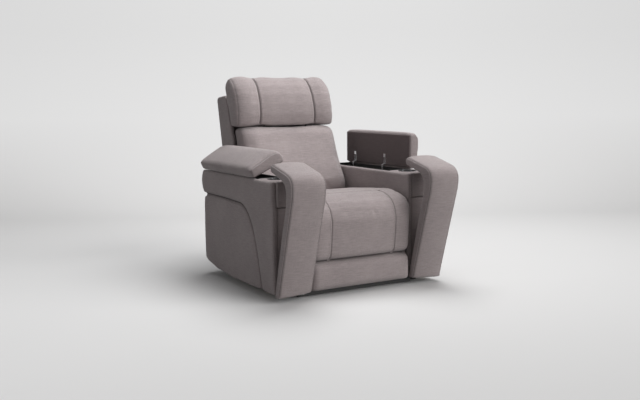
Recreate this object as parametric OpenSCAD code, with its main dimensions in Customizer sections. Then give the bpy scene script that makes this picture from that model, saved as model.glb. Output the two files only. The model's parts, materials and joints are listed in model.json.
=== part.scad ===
// Power recliner seat with two storage arms, a folding footrest, a tilting
// back and a tilting headrest. The seat faces -Y and the floor is Z = 0.
// The origin is the centre of the floor bolt pattern.

/* [Seat] */
// Distance between the inner faces of the arms
seat_gap = 580; // [540:5:640]
// Width of one arm
arm_w = 180; // [170:2:200]
// Height of the seat top
seat_z = 462; // [450:2:470]
// Length of the seat from its front hinge to the back cushion
seat_len = 520; // [510:2:522]

/* [Arms] */
// Height of the arm top
arm_z = 560; // [556:1:562]
// Height of the underside of the upholstery
under_z = 36; // [34:1:50]
// Front face of the arm box
arm_front = -430; // [-440:2:-428]
// Rear face of the lower arm
arm_rear = 380; // [370:2:384]
// Thickness of an arm pad
pad_t = 20; // [16:1:22]
// Thickness of an arm board
board_t = 12; // [9:1:15]
// Centre of the cup holder along the arm
cup_y = -300; // [-310:2:-290]
// Inside radius of the cup holder
cup_r = 40; // [34:1:41]
// Depth of the cup holder
cup_deep = 70; // [50:5:90]

/* [Lids] */
// Front end of the lids
lid_front = -225; // [-230:1:-220]
// Rear end of the lids
lid_rear = 400; // [380:2:404]
// Thickness of a lid at its outer edge
lid_t = 52; // [46:1:56]
// Height of the lid hinge above the arm top
lid_pin_up = 17.5; // [17:0.5:18]
// Angle at which the left lid stands open
left_open = 24.5; // [0:0.5:60]
// Angle at which the right lid stands open
right_open = 90; // [0:1:90]

/* [Back] */
// Height of the recline pivot
back_pivot_z = 300; // [296:1:304]
// Recline pivot along the seat
back_pivot_y = 230; // [226:1:234]
// Width of the back cushion
back_w = 570; // [500:5:572]
// Width of the headrest
head_w = 592; // [540:4:600]
// Height of the headrest top
head_top = 1054; // [1040:2:1060]

/* [Footrest] */
// Height of the footrest hinge
foot_pivot_z = 395; // [393:1:397]
// Thickness of the footrest pads
foot_pad_t = 56; // [50:1:56]

/* [Base] */
// Distance between the floor bolts across the seat
bolt_x = 500; // [480:5:510]
// Distance between the floor bolts from front to back
bolt_y = 560; // [520:5:600]
// Radius of a floor bolt hole
bolt_r = 5.5; // [4.5:0.5:6.5]
// Radius of the recline and footrest pins
pin_r = 6; // [5:0.5:6]
// Radial clearance of a pin in its eye
pin_gap = 0.05; // [0.02:0.01:0.1]

/* [Hidden] */

fn = 48;
half_gap = seat_gap / 2;
outer_x = half_gap + arm_w;
inner_board_x = half_gap + pad_t + 2;
outer_board_x = outer_x - pad_t - board_t;
bin_in = inner_board_x + board_t;
bin_out = outer_board_x;
bin_t = 3;
bin_front = lid_front + 14;
bin_rear = arm_rear - 24;
bin_z = 380;
cap_rear = lid_front - 4;
cup_x = half_gap + arm_w / 2;
seam_z = 170;
clear = 0.5;

lid_z = arm_z + 7;
lid_pin = [outer_x - 11.5, arm_z + lid_pin_up];
lid_pin_r = 2.5;
lid_hinge_y = [5, 302];
slot_half = 10;
liner_t = 6;

foot_pivot = [-402, foot_pivot_z];
seat_front = foot_pivot[0] + 2;
seat_rear = seat_front + seat_len;
seat_low = 345;
arm_bar_x = 262;
bar_t = 6;
plate_x = 272;
plate_t = 4;
back_pivot = [back_pivot_y, back_pivot_z];

foot_link_l = 200;
foot_lever = [foot_pivot[0] + 30, foot_pivot[1] - 100];
foot_rail_z = 250;
foot_car_y = foot_lever[0] + sqrt(foot_link_l ^ 2 - (foot_lever[1] - foot_rail_z) ^ 2);
recl_link_l = 180;
recl_lever = [back_pivot[0] - 20, back_pivot[1] - 110];
recl_car_y = recl_lever[0] - recl_link_l;
foot_act_x = 70;
recl_act_x = -70;
link_pin_r = 4;
lever_x = 11;
pad_back = foot_pivot[0] - 10.5;

head_pivot = [330, 772];
cloth = [0.56, 0.52, 0.51];
dark_cloth = [0.24, 0.22, 0.22];
black = [0.08, 0.08, 0.08];
steel = [0.62, 0.63, 0.65];
ply = [0.72, 0.58, 0.42];

// A point list along a cubic curve with n steps
function curve(a, b, c, d, n) = [
    for (i = [0 : n]) let (t = i / n, s = 1 - t)
        a * s ^ 3 + b * 3 * s * s * t + c * 3 * s * t * t + d * t ^ 3
];

// An outline in the Y-Z plane pushed out along X from x0 to x1
module slab_x(x0, x1) {
    translate([x0, 0, 0])
        rotate([90, 0, 90])
            linear_extrude(x1 - x0)
                children();
}

// An outline in the X-Z plane pushed out along Y from y0 to y1
module slab_y(y0, y1) {
    translate([0, y1, 0])
        rotate([90, 0, 0])
            linear_extrude(y1 - y0)
                children();
}

// A box given by two corners
module block(a, b) {
    translate(a)
        cube(b - a);
}

// A cylinder along X from x0 to x1 about the point p in the Y-Z plane
module rod_x(p, r, x0, x1) {
    translate([x0, p[0], p[1]])
        rotate([0, 90, 0])
            cylinder(h = x1 - x0, r = r, $fn = fn);
}

// A cylinder along Y from y0 to y1 about the point p in the X-Z plane
module rod_y(p, r, y0, y1) {
    translate([p[0], y0, p[1]])
        rotate([-90, 0, 0])
            cylinder(h = y1 - y0, r = r, $fn = fn);
}

// The right side as drawn, or its mirror image on the left
module on_side(s) {
    if (s < 0)
        mirror([1, 0, 0]) children();
    else
        children();
}

// Base

angle_y = [-300, -170, 40];
angle_d = 40;
angle_t = 4;
rail_h = 40;
rail_t = 5;
skirt_front = -400;
skirt_rear = 340;
skirt_t = 15;
skirt_x = inner_board_x + skirt_t;
rail_front = skirt_front + skirt_t;
rail_rear = skirt_rear - skirt_t;
angle_top = rail_h + angle_d;

// Two floor rails with bolt holes, joined by three angle irons
module base_frame() {
    color(black) {
        for (s = [-1, 1])
            on_side(s)
                difference() {
                    union() {
                        block([bolt_x / 2 - 24, rail_front, 0], [bolt_x / 2 + 20, rail_rear, rail_t]);
                        block([bolt_x / 2 - 24, rail_front, rail_t], [bolt_x / 2 - 18, rail_rear, rail_h]);
                    }
                    for (t = [-1, 1])
                        translate([bolt_x / 2, t * bolt_y / 2, -1])
                            cylinder(h = rail_t + 2, r = bolt_r, $fn = fn);
                }
        for (y = angle_y) {
            block([-plate_x, y, rail_h], [plate_x, y + angle_t, angle_top]);
            block([-plate_x, y, angle_top - angle_t], [plate_x, y + angle_d, angle_top]);
        }
    }
}

module side_plate_outline() {
    polygon([
        [-370, 5], [250, 5], [250, 312], [212, 330], [-380, 330],
        [-392, foot_pivot[1] + 6], [-408, foot_pivot[1] + 6], [-411, foot_pivot[1] - 8], [-396, 376],
        [-392, 300]
    ]);
}

// Steel side plates with the footrest and recline pins welded in
module side_plates() {
    color(steel)
        for (s = [-1, 1])
            on_side(s) {
                difference() {
                    slab_x(plate_x, plate_x + plate_t)
                        side_plate_outline();
                    slab_x(plate_x - 1, plate_x + plate_t + 1)
                        polygon([[-330, 95], [-60, 95], [-60, 270], [-330, 270]]);
                }
                for (p = [foot_pivot, back_pivot])
                    rod_x(p, pin_r, arm_bar_x - 4, plate_x + plate_t + 4);
            }
}

// A black skirt of boards that carries the inner boards of the arms
module plinth() {
    color(black)
        difference() {
            block([-skirt_x, skirt_front, 4], [skirt_x, skirt_rear, under_z]);
            block([-inner_board_x, rail_front, 3], [inner_board_x, rail_rear, under_z + 1]);
        }
}

module glides() {
    color(black)
        for (s = [-1, 1])
            for (y = [-340, 0])
                translate([s * cup_x, y, 0])
                    cylinder(h = under_z, r = 22, $fn = fn);
}

// Seat

module seat_frame() {
    color(black)
        difference() {
            block([-plate_x, -372, 308], [plate_x, 110, 333]);
            block([-230, -344, 307], [230, 82, 334]);
        }
}

spring_n = 5;
spring_pitch = 60;
spring_amp = 18;
spring_steps = 64;
wire_r = 1.8;
function spring_point(x, t) = [x + spring_amp * sin(t * 360 * 7), -358 + 456 * t, 336 + 3 * sin(180 * t)];

// A wire of round section with its rings across Y
module zigzag(x) {
    sides = 6;
    pts = [
        for (i = [0 : spring_steps]) let (p = spring_point(x, i / spring_steps))
            for (k = [0 : sides - 1])
                p + [wire_r * 1.6 * cos(60 * k), 0, wire_r * sin(60 * k)]
    ];
    walls = [
        for (i = [0 : spring_steps - 1])
            for (k = [0 : sides - 1]) let (m = (k + 1) % sides)
                [i * sides + k, i * sides + m, (i + 1) * sides + m, (i + 1) * sides + k]
    ];
    first = [for (k = [0 : sides - 1]) sides - 1 - k];
    last = [for (k = [0 : sides - 1]) spring_steps * sides + k];
    polyhedron(pts, concat(walls, [first, last]));
}

module seat_springs() {
    color(steel)
        for (i = [0 : spring_n - 1])
            zigzag((i - (spring_n - 1) / 2) * spring_pitch * 1.5);
}

module seat_cushion() {
    color(cloth)
        difference() {
            slab_x(-half_gap + 3, half_gap - 3)
                polygon([
                    [seat_front, seat_low], [seat_front, seat_z - 8], [seat_front + 80, seat_z],
                    [0, seat_z - 14], [seat_rear, seat_z - 30], [seat_rear, seat_low]
                ]);
            for (s = [-1, 1])
                on_side(s)
                    block([arm_bar_x - 6, seat_front - 1, seat_low - 1], [half_gap, seat_front + 40, 412]);
        }
}

// The foam that bends at the front edge of the seat
module seat_front_roll() {
    color(cloth)
        difference() {
            slab_x(-half_gap + 3, half_gap - 3)
                polygon(concat(
                    [[seat_front - clear, foot_pivot[1] - 9.5], [seat_front - clear, seat_z - 8]],
                    curve(
                        [seat_front - 16, seat_z - 9], [-450, 450], [-466, 436], [-468, foot_pivot[1]], 6
                    ),
                    [[-468, foot_pivot[1] - 9.5]]
                ));
            for (s = [-1, 1])
                on_side(s)
                    block([arm_bar_x - 6, -420, 380], [half_gap, seat_front, 412]);
        }
}

// Arms

function arm_seam() = curve([-290, under_z + 4], [-255, 215], [-215, 400], [-60, 427], 12);

module upper_panel_outline() {
    polygon(concat(
        [[arm_front, under_z]], [[-292, under_z]], arm_seam(),
        [[155, 433], [arm_rear - 24, 434], [arm_rear + 2, 437], [arm_rear + 14, 446], [arm_rear + 27, 490]],
        [[arm_rear + 27, 520], [arm_rear + 16, 550], [arm_rear + 8, arm_z], [arm_front + 8, arm_z]]
    ));
}

module lower_panel_outline() {
    inset = [for (p = arm_seam()) p + [5, -4]];
    polygon(concat(
        [[-284, under_z]], inset,
        [[155, 428], [arm_rear - 24, 428], [arm_rear, 418], [arm_rear - 2, under_z + 49]],
        [[350, under_z + 35], [228, under_z + 12], [39, under_z]]
    ));
}

module arm_upper_panel(s) {
    color(cloth)
        on_side(s)
            slab_x(outer_x - pad_t, outer_x)
                upper_panel_outline();
}

module arm_lower_panel(s) {
    color(cloth)
        on_side(s)
            slab_x(outer_x - pad_t, outer_x)
                lower_panel_outline();
}

module arm_inner_panel(s) {
    color(cloth)
        on_side(s)
            difference() {
                slab_x(half_gap, half_gap + pad_t)
                    polygon([
                        [arm_front, under_z + 40], [arm_front, arm_z], [arm_rear + 12, arm_z],
                        [arm_rear + 12, 440], [arm_rear - 4, 430], [arm_rear - 4, under_z + 60]
                    ]);
                if (s < 0)
                    block(
                        [half_gap - 1, switch_y - 46, switch_z - 16],
                        [half_gap + 13, switch_y + 46, switch_z + 16]
                    );
            }
}

frame_front = arm_front + 34;
frame_rear = arm_rear - 20;
cap_t = 19;

// Two side boards, the end boards and the floor of the arm box
module arm_frame(s) {
    color(ply)
        on_side(s)
            difference() {
                union() {
                    for (x = [inner_board_x, outer_board_x])
                        block([x, frame_front, under_z], [x + board_t, frame_rear, arm_z - 3]);
                    block(
                        [bin_in, frame_front, under_z],
                        [outer_board_x, frame_front + board_t, arm_z - cap_t - 3]
                    );
                    block([bin_in, frame_rear - board_t, under_z], [outer_board_x, frame_rear, 360]);
                    block(
                        [bin_in, frame_front + board_t, under_z],
                        [outer_board_x, frame_rear - board_t, under_z + board_t]
                    );
                }
                block(
                    [inner_board_x - 1, frame_front - 1, arm_z - cap_t - 3],
                    [outer_x, cap_rear + 2, arm_z]
                );
                slab_x(inner_board_x - 1, outer_x)
                    polygon([
                        [30, under_z - 1], [39, under_z + 4], [228, under_z + 16], [350, under_z + 39],
                        [arm_rear, under_z + 54], [arm_rear, under_z - 1]
                    ]);
            }
}

// The padded top and front of the arm, with the hole for the cup holder
module arm_cap(s) {
    color(cloth)
        on_side(s)
            difference() {
                union() {
                    block([half_gap + pad_t, arm_front, arm_z - cap_t], [outer_x - pad_t, cap_rear, arm_z]);
                    block(
                        [half_gap + pad_t, arm_front, 442],
                        [outer_x - pad_t, arm_front + 32, arm_z - cap_t]
                    );
                }
                translate([cup_x, cup_y, arm_z - 30])
                    cylinder(h = 40, r = cup_r + 3, $fn = fn);
            }
}

module arm_rear_pad(s) {
    color(cloth)
        on_side(s)
            slab_x(half_gap + pad_t + 2, outer_x - pad_t - 2)
                polygon([
                    [arm_rear - 20, under_z + 50], [arm_rear - 3, under_z + 52], [arm_rear - 3, 432],
                    [arm_rear + 20, 450], [arm_rear + 24, 500], [arm_rear + 10, arm_z - 4],
                    [arm_rear - 20, arm_z - 4]
                ]);
}

module arm_front_pad(s) {
    color(cloth)
        on_side(s)
            block(
                [half_gap + pad_t + 2, arm_front + 8, under_z + 2],
                [outer_x - pad_t - 4, arm_front + 32, 437]
            );
}

// A padded cane shape that rises in front of the arm and hooks back over it
module band_outline() {
    polygon(concat(
        [[-432, under_z - 1], [-467, under_z - 1]],
        curve([-583, 424], [-620, 535], [-618, 585], [-563, 604], 14),
        [[-493, 622], [-412, 642], [-404, 634], [-405, 612], [-412, 605], [-440, 597]],
        curve([-490, 582], [-590, 560], [-556, 470], [-515, 345], 12)
    ));
}

module arm_band(s) {
    color(cloth)
        on_side(s)
            slab_x(half_gap, outer_x)
                band_outline();
}

module band_brackets() {
    color(steel)
        for (s = [-1, 1])
            on_side(s)
                difference() {
                    block([cup_x - 50, -462, under_z - 5], [cup_x + 50, arm_front + 60, under_z - 1.5]);
                    for (x = [-40, 40])
                        for (y = [-450, arm_front + 46])
                            translate([cup_x + x, y, under_z - 6])
                                cylinder(h = 6, r = 3, $fn = fn);
                }
}

module storage_bin(s) {
    color(black)
        on_side(s)
            difference() {
                block([bin_in + clear, bin_front, bin_z], [bin_out - clear, bin_rear, arm_z + 1]);
                block(
                    [bin_in + bin_t, bin_front + bin_t, bin_z + bin_t],
                    [bin_out - bin_t, bin_rear - bin_t, arm_z + 2]
                );
            }
}

module cup_holder(s) {
    color("silver")
        on_side(s)
            translate([cup_x, cup_y, arm_z - cup_deep])
                rotate_extrude($fn = 64)
                    polygon([
                        [0, 0], [cup_r - 3, 0], [cup_r + 2.5, cup_deep], [cup_r + 8, cup_deep],
                        [cup_r + 8, cup_deep + 1], [cup_r + 6, cup_deep + 4], [cup_r + 2, cup_deep + 4],
                        [cup_r, cup_deep + 1], [cup_r - 5.5, 2.5], [0, 2.5]
                    ]);
}

// Lids

// Turns a right-hand part about the lid pin from closed to open
module lid_turn(a) {
    translate([lid_pin[0], 0, lid_pin[1]])
        rotate([0, a, 0])
            translate([-lid_pin[0], 0, -lid_pin[1]])
                children();
}

module lid_placed(s) {
    on_side(s)
        lid_turn(s < 0 ? left_open : right_open)
            children();
}

module lid_slots() {
    for (y = lid_hinge_y)
        block([lid_pin[0] - 36, y - slot_half, lid_z - 1], [outer_x - 3, y + slot_half, lid_pin[1] + 8]);
}

module lid_pad(s) {
    color(cloth)
        lid_placed(s)
            difference() {
                slab_y(lid_front, lid_rear)
                    polygon([
                        [outer_x, lid_z + 3], [outer_x, lid_z + lid_t - 8], [outer_x - 8, lid_z + lid_t],
                        [half_gap + 50, lid_z + lid_t + 13], [half_gap + 20, lid_z + lid_t + 9],
                        [half_gap + 4, lid_z + lid_t - 6], [half_gap, lid_z + 30],
                        [half_gap + 2, lid_z + 3],
                        [half_gap + 6, lid_z + 3], [half_gap + 6, lid_z + liner_t],
                        [outer_x - 3, lid_z + liner_t], [outer_x - 3, lid_z + 3]
                    ]);
                lid_slots();
            }
}

module lid_liner(s) {
    color(dark_cloth)
        lid_placed(s)
            difference() {
                block(
                    [half_gap + 6.5, lid_front + 5, lid_z],
                    [outer_x - 3.5, lid_rear - 5, lid_z + liner_t]
                );
                lid_slots();
            }
}

cheek_y = 7.5;

// Two cheeks with the pin between them and a flange under the liner
module lid_hinges(s) {
    color("silver")
        lid_placed(s)
            for (y = lid_hinge_y) {
                for (t = [-1, 1])
                    block(
                        [lid_pin[0] - 34, y + t * cheek_y - 1, lid_z],
                        [lid_pin[0] + 6, y + t * cheek_y + 1, lid_pin[1] + 6]
                    );
                rod_y(lid_pin, lid_pin_r, y - 7, y + 7);
                block([lid_pin[0] - 52, y - 8.5, lid_z - 2], [lid_pin[0] - 34, y + 8.5, lid_z]);
            }
}

// Goosenecks that rise out of the bin and hold the lid pins
module lid_brackets() {
    color("silver")
        for (s = [-1, 1])
            on_side(s)
                for (y = lid_hinge_y)
                    difference() {
                        union() {
                            rod_y(lid_pin, 5, y - 5, y + 5);
                            slab_y(y - 5, y + 5)
                                polygon([
                                    [lid_pin[0] - 3, lid_pin[1] - 4], [lid_pin[0] - 3, lid_pin[1] + 1],
                                    [lid_pin[0] - 28, lid_pin[1] - 6], [lid_pin[0] - 28, arm_z - 50],
                                    [bin_out - bin_t, arm_z - 50], [bin_out - bin_t, lid_pin[1] - 10]
                                ]);
                        }
                        rod_y(lid_pin, lid_pin_r + pin_gap, y - 6, y + 6);
                    }
}

// Rear of the base

panel_t = 12;
inlet_x = -200;
inlet_rear = frame_rear + panel_t;

// A strip screwed to the ends of the arm boards
module rear_panel() {
    color(black)
        difference() {
            block([-bin_in, frame_rear, 40], [bin_in, frame_rear + panel_t, 80]);
            block([inlet_x - 14, frame_rear - 1, 48], [inlet_x + 14, frame_rear + panel_t + 1, 72]);
        }
}

module power_inlet() {
    color("dimgray")
        difference() {
            union() {
                block([inlet_x - 14, inlet_rear - 24, 48], [inlet_x + 14, inlet_rear, 72]);
                block([inlet_x - 18, inlet_rear, 44], [inlet_x + 18, inlet_rear + 3, 76]);
            }
            block([inlet_x - 9, inlet_rear - 16, 53], [inlet_x + 9, inlet_rear + 4, 67]);
        }
    color("gold")
        for (x = [-5, 0, 5])
            block([inlet_x + x - 1, inlet_rear - 16, 58], [inlet_x + x + 1, inlet_rear - 4, 62]);
}

module power_supply() {
    color(black)
        block([90, rail_rear - 70, 8], [210, rail_rear, 48]);
}

// Footrest

module footrest_board() {
    color(ply)
        block([-half_gap + 8, foot_pivot[0] - 10, 46], [half_gap - 8, foot_pivot[0] + 1.5, 372]);
}

module footrest_upper_pad() {
    color(cloth)
        slab_x(-half_gap + 4, half_gap - 4)
            polygon([
                [pad_back, seam_z + 2], [pad_back - foot_pad_t + 12, seam_z + 2],
                [pad_back - foot_pad_t, seam_z + 22], [pad_back - foot_pad_t - 1.5, 300],
                [pad_back - foot_pad_t, foot_pivot[1] - 10.5],
                [pad_back, foot_pivot[1] - 10.5]
            ]);
}

module footrest_lower_pad() {
    color(cloth)
        slab_x(-half_gap + 4, half_gap - 4)
            polygon([
                [pad_back, under_z - 8], [foot_pivot[0] - foot_pad_t + 6, under_z - 8],
                [foot_pivot[0] - foot_pad_t, under_z + 4], [foot_pivot[0] - foot_pad_t, seam_z - 16],
                [foot_pivot[0] - foot_pad_t + 10, seam_z - 2], [pad_back, seam_z - 2]
            ]);
}

// Two side bars from the hinge down the board, and a central lever
module footrest_arms() {
    color(steel) {
        for (s = [-1, 1])
            on_side(s)
                difference() {
                    union() {
                        rod_x(foot_pivot, 9.5, arm_bar_x, arm_bar_x + bar_t);
                        block(
                            [arm_bar_x, foot_pivot[0] + 1.5, 70],
                            [arm_bar_x + bar_t, foot_pivot[0] + 22, foot_pivot[1]]
                        );
                    }
                    rod_x(foot_pivot, pin_r + pin_gap, arm_bar_x - 1, arm_bar_x + bar_t + 1);
                }
        for (t = [-1, 1])
            difference() {
                slab_x(foot_act_x + t * lever_x - 2, foot_act_x + t * lever_x + 2)
                    polygon([
                        [foot_pivot[0] + 1.5, foot_lever[1] - 20], [foot_lever[0] + 6, foot_lever[1] - 8],
                        [foot_lever[0] + 6, foot_lever[1] + 8], [foot_pivot[0] + 1.5, foot_lever[1] + 20]
                    ]);
                rod_x(foot_lever, link_pin_r, foot_act_x + t * lever_x - 3, foot_act_x + t * lever_x + 3);
            }
    }
}

// A motor with its gearbox on the end of a channel track along Y, on posts
module actuator(x, z, y0, y1, motor_dir, posts) {
    box_y0 = motor_dir < 0 ? y0 - 46 : y1;
    motor_y = box_y0 + 23;
    difference() {
        block([x - 16, y0, z - 24], [x + 16, y1, z - 9]);
        block([x - 12, y0 + 4, z - 20], [x + 12, y1 - 4, z - 8]);
    }
    block([x - 22, box_y0, z - 32], [x + 22, box_y0 + 46, z + 6]);
    translate([x, motor_y, z - 32])
        rotate([180, 0, 0])
            cylinder(h = 60, r = 20, $fn = fn);
    for (y = posts)
        block([x - 12, y - 4, angle_top], [x + 12, y + 4, z - 24]);
}

module carriage(x, z, y) {
    difference() {
        union() {
            block([x - 11, y - 22, z - 19], [x + 11, y + 22, z - 8]);
            for (t = [-1, 1])
                block([x + t * 9 - 2, y - 8, z - 8], [x + t * 9 + 2, y + 8, z + 8]);
        }
        rod_x([y, z], link_pin_r, x - 12, x + 12);
    }
}

// A flat bar between two pins, with its own pin at the end a
module link(x, a, b) {
    difference() {
        union() {
            rod_x(a, 8, x - 3, x + 3);
            rod_x(b, 8, x - 3, x + 3);
            slab_x(x - 3, x + 3)
                polygon([a + [0, 7], b + [0, 7], b - [0, 7], a - [0, 7]]);
        }
        rod_x(b, link_pin_r + 0.4, x - 4, x + 4);
    }
    rod_x(a, link_pin_r - pin_gap, x - lever_x, x + lever_x);
}

module footrest_actuator() {
    color(black)
        actuator(
            foot_act_x, foot_rail_z, foot_car_y - 190, foot_car_y + 40, 1,
            [angle_y[0] + angle_d / 2, angle_y[1] + angle_d / 2]
        );
}

module footrest_carriage() {
    color("dimgray")
        carriage(foot_act_x, foot_rail_z, foot_car_y);
}

module footrest_link() {
    color(steel)
        link(foot_act_x, [foot_car_y, foot_rail_z], foot_lever);
}

module recline_actuator() {
    color(black)
        actuator(
            recl_act_x, recl_lever[1], recl_car_y - 110, recl_car_y + 40, -1,
            [angle_y[2] + angle_d / 2]
        );
}

module recline_carriage() {
    color("dimgray")
        carriage(recl_act_x, recl_lever[1], recl_car_y);
}

module recline_link() {
    color(steel)
        link(recl_act_x, [recl_car_y, recl_lever[1]], recl_lever);
}

// Back

function back_rear_y(z) = 308 + (z - 400) * 0.219;
board_gap = 2;
board_d = 18;
board_top = 778;
bracket_y = back_rear_y(540) + board_gap;

// The plywood back with its side bars, the pivot eyes and the recline lever
module back_board() {
    color(ply)
        slab_x(-250, 250)
            polygon([
                [back_rear_y(380) + board_gap, 380], [back_rear_y(board_top) + board_gap, board_top],
                [back_rear_y(board_top) + board_gap + board_d, board_top],
                [back_rear_y(380) + board_gap + board_d, 380]
            ]);
    color(steel) {
        for (s = [-1, 1])
            on_side(s) {
                difference() {
                    slab_x(arm_bar_x, arm_bar_x + bar_t)
                        polygon([
                            [back_pivot[0] - 16, back_pivot[1] - 10],
                            [back_pivot[0] + 8, back_pivot[1] - 16],
                            [back_rear_y(400) + board_gap + board_d, 400],
                            [back_rear_y(560) + board_gap + board_d, 560],
                            [back_rear_y(560) + board_gap, 560],
                            [back_rear_y(420) + board_gap, 420], [back_pivot[0] - 4, back_pivot[1] + 16],
                            [back_pivot[0] - 16, back_pivot[1] + 6]
                        ]);
                    rod_x(back_pivot, pin_r + pin_gap, arm_bar_x - 1, arm_bar_x + bar_t + 1);
                }
                block([250, bracket_y, 500], [arm_bar_x, bracket_y + 10, 540]);
            }
        block(
            [-arm_bar_x, back_pivot[0] + 14, back_pivot[1] - 2],
            [arm_bar_x, back_pivot[0] + 30, back_pivot[1] + 14]
        );
        for (t = [-1, 1])
            difference() {
                slab_x(recl_act_x + t * lever_x - 2, recl_act_x + t * lever_x + 2)
                    polygon([
                        [recl_lever[0] - 8, recl_lever[1] - 8], [recl_lever[0] + 8, recl_lever[1] - 8],
                        [back_pivot[0] + 30, back_pivot[1] - 2], [back_pivot[0] + 14, back_pivot[1] - 2],
                        [recl_lever[0] - 8, recl_lever[1] + 8]
                    ]);
                rod_x(recl_lever, link_pin_r, recl_act_x + t * lever_x - 3, recl_act_x + t * lever_x + 3);
            }
    }
}

module back_cushion() {
    color(cloth)
        slab_x(-back_w / 2, back_w / 2)
            polygon([
                [134, 405], [128, 452], [139, 490], [165, 542], [202, 613], [233, 684], [262, 738],
                [285, 760], [320, 764], [back_rear_y(764), 764], [back_rear_y(600), 600],
                [back_rear_y(430), 430], [270, 405]
            ]);
}

shell_side = 16;
shell_low = 190;
module shell_outline() {
    polygon([
        [364, shell_low], [398, 702], [425, 767], [449, 832], [491, 945], [505, 954], [598, 944],
        [608, 925], [447, shell_low]
    ]);
}

// The padded outer back, open towards the back cushion
module back_shell() {
    color(cloth)
        difference() {
            slab_x(-half_gap + 4, half_gap - 4)
                shell_outline();
            slab_x(-half_gap + 4 + shell_side, half_gap - 4 - shell_side)
                polygon([
                    [340, shell_low + 16], [376, 702], [432, 830], [478, 935], [588, 930],
                    [435, shell_low + 16]
                ]);
        }
}

// Headrest

// A small lift motor behind the back board, with the two headrest brackets
module headrest_actuator() {
    board_y = back_rear_y(board_top) + board_gap + board_d;
    color(black) {
        block([-20, 394, 600], [20, 430, 700]);
        translate([0, 412, 700])
            cylinder(h = 42, r = 6, $fn = fn);
        block([-126, board_y, 742], [126, board_y + 8, 785]);
        for (s = [-1, 1])
            on_side(s)
                difference() {
                    slab_x(120, 126)
                        polygon([
                            [head_pivot[0] - 9, head_pivot[1] - 5], [head_pivot[0] + 8, head_pivot[1] - 5],
                            [385, board_top + 1], [board_y + 1, board_top + 1], [board_y + 1, board_top + 7],
                            [400, board_top + 7], [head_pivot[0] + 4, board_top + 3],
                            [head_pivot[0] - 9, board_top + 1]
                        ]);
                    rod_x(head_pivot, link_pin_r + pin_gap, 119, 127);
                }
    }
}

head_notch = head_pivot[1] + 29;

module headrest_plate() {
    color(black)
        for (s = [-1, 1])
            on_side(s) {
                slab_x(129, 133)
                    polygon([
                        [head_pivot[0] - 5, head_pivot[1] - 5], [head_pivot[0] + 5, head_pivot[1] - 5],
                        [head_pivot[0] + 8, head_notch - 1], [head_pivot[0] - 8, head_notch - 1]
                    ]);
                rod_x(head_pivot, link_pin_r, 118, 133);
            }
}

module headrest_cushion() {
    color(cloth)
        difference() {
            slab_x(-head_w / 2, head_w / 2)
                polygon([
                    [303, 788], [293, 799], [290, 850], [299, 910], [318, 962], [345, 1006],
                    [378, head_top - 16], [410, head_top], [440, head_top - 2], [464, head_top - 18],
                    [474, 1010], [472, 985], [452, 926], [424, 860], [398, 790], [380, 786]
                ]);
            for (s = [-1, 1])
                on_side(s)
                    block([116, head_pivot[0] - 14, 780], [136, head_pivot[0] + 14, head_notch]);
        }
}

// Controls on the inner face of the left arm

switch_y = -250;
switch_z = 508;
button_r = 8;
button_pitch = 22;
module switch_plate() {
    color(black)
        difference() {
            union() {
                block(
                    [-half_gap - 12, switch_y - 45, switch_z - 15],
                    [-half_gap, switch_y + 45, switch_z + 15]
                );
                block(
                    [-half_gap, switch_y - 50, switch_z - 20],
                    [-half_gap + 2, switch_y + 50, switch_z + 20]
                );
            }
            for (i = [0 : 3])
                rod_x(button_at(i), button_r + 0.3, -half_gap - 9, -half_gap + 3);
        }
}

function button_at(i) = [switch_y + (i - 1.5) * button_pitch, switch_z];

module button(i) {
    color("silver")
        rod_x(button_at(i), button_r, -half_gap - 6, -half_gap + 3);
}

base_frame();
side_plates();
plinth();
glides();
seat_frame();
seat_springs();
seat_cushion();
seat_front_roll();
arm_frame(-1);  // arm_frame_left
arm_frame(1);  // arm_frame_right
arm_upper_panel(-1);  // arm_upper_panel_left
arm_upper_panel(1);  // arm_upper_panel_right
arm_lower_panel(-1);  // arm_lower_panel_left
arm_lower_panel(1);  // arm_lower_panel_right
arm_inner_panel(-1);  // arm_inner_panel_left
arm_inner_panel(1);  // arm_inner_panel_right
arm_rear_pad(-1);  // arm_rear_pad_left
arm_rear_pad(1);  // arm_rear_pad_right
arm_cap(-1);  // arm_cap_left
arm_cap(1);  // arm_cap_right
arm_front_pad(-1);  // arm_front_pad_left
arm_front_pad(1);  // arm_front_pad_right
arm_band(-1);  // arm_band_left
arm_band(1);  // arm_band_right
band_brackets();
storage_bin(-1);  // storage_bin_left
storage_bin(1);  // storage_bin_right
cup_holder(-1);  // cup_holder_left
cup_holder(1);  // cup_holder_right
lid_brackets();
lid_pad(-1);  // lid_pad_left
lid_pad(1);  // lid_pad_right
lid_liner(-1);  // lid_liner_left
lid_liner(1);  // lid_liner_right
lid_hinges(-1);  // lid_hinges_left
lid_hinges(1);  // lid_hinges_right
rear_panel();
power_supply();
power_inlet();
footrest_board();
footrest_upper_pad();
footrest_lower_pad();
footrest_arms();
footrest_actuator();
footrest_carriage();
footrest_link();
recline_actuator();
recline_carriage();
recline_link();
back_board();
back_cushion();
back_shell();
headrest_actuator();
headrest_plate();
headrest_cushion();
switch_plate();
button(0);  // button_recline
button(1);  // button_upright
button(2);  // button_head_up
button(3);  // button_head_down
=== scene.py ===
# %% [markdown]
# # A power recliner with storage arms
# This lesson dresses a finished construction model of a cinema recliner. The model gives every hard part,
# every hinge and a plain block for each cushion. Here the blocks turn into padded, sewn upholstery, the
# hard parts get their finishes, and a camera and a small studio are set up. All lengths are metres, the
# floor is Z = 0, the chair faces -Y and +X is on the right as seen from the front.

# %% Load the construction model
import math
import json

import bmesh
import bpy
import numpy as np
from mathutils import Matrix, Vector
from mathutils.bvhtree import BVHTree


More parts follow.
